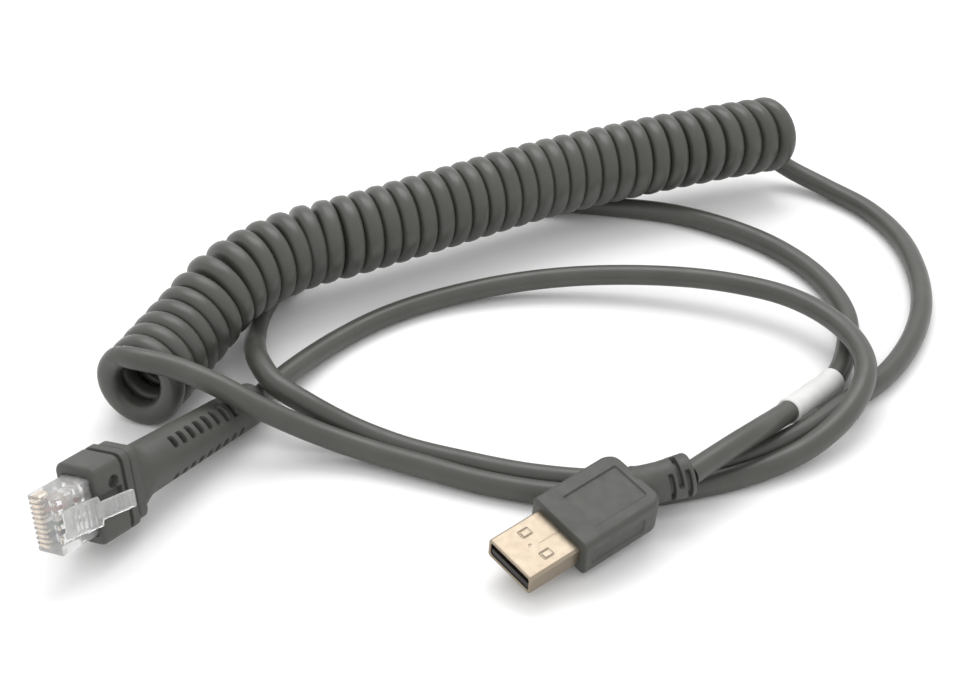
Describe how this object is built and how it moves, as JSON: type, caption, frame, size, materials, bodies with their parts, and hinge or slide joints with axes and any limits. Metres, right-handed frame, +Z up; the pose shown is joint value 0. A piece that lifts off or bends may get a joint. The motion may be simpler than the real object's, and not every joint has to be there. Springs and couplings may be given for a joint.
{
  "type": "coiled interface cable",
  "caption": "Coiled data cable of a handheld scanner: a USB type A plug on one end, a latched modular plug in a hood with a slotted boot on the other, and a marker sleeve on one tail.",
  "frame": {"origin": "centre of the bounding box, on the surface that the cable lies on", "axes": "+Z up; +X to the right along the cable's long side as seen from the plugs' side, +Y away towards the coil"},
  "size_m": [0.188, 0.165, 0.0244],
  "materials": {
    "jacket": "satin PVC cord jacket",
    "moulding": "satin moulded PVC",
    "nickel": "satin nickel plate",
    "gold": "gold plate",
    "clear": "clear polycarbonate",
    "tongue_black": "moulded black PBT",
    "natural_pe": "natural polyethylene",
    "marker_white": "matt white sleeve",
    "wire_red": "wire insulation",
    "wire_white": "wire insulation",
    "wire_green": "wire insulation",
    "wire_black": "wire insulation",
    "tinned": "tinned copper strands"
  },
  "bodies": {
    "cable": {"usb_shell": "nickel", "usb_tongue": "tongue_black", "usb_contact_power": "gold", "usb_contact_data_minus": "gold", "usb_contact_data_plus": "gold", "usb_contact_ground": "gold", "usb_inner_mould": "natural_pe", "usb_crimp_collar": "nickel", "usb_overmould": "moulding", "usb_wire_power": "wire_red", "usb_wire_data_minus": "wire_white", "usb_wire_data_plus": "wire_green", "usb_wire_ground": "wire_black", "usb_cord_end": "jacket", "usb_tail": "jacket", "cord_marker": "marker_white", "coil": "jacket", "scanner_tail": "jacket", "scanner_cord_end": "jacket", "strain_boot": "moulding", "hood": "moulding", "plug_body": "clear", "plug_contacts": "gold", "plug_wire_comb": "clear", "plug_clamp_bar": "clear", "plug_wire_power": "wire_red", "plug_wire_data_minus": "wire_white", "plug_wire_data_plus": "wire_green", "plug_wire_ground": "wire_black", "plug_drain_wire": "tinned"},
    "latch": {"plug_latch": "clear"}
  },
  "joints": [
    {"name": "latch_press", "type": "hinge", "parent": "cable", "child": "latch", "pos_m": [-0.08642, -0.07489, 0.01359], "axis": [-0.1098, 0.2355, 0.9657], "range_deg": [0, 7], "stiffness_Nm_per_rad": 0.3}
  ]
}
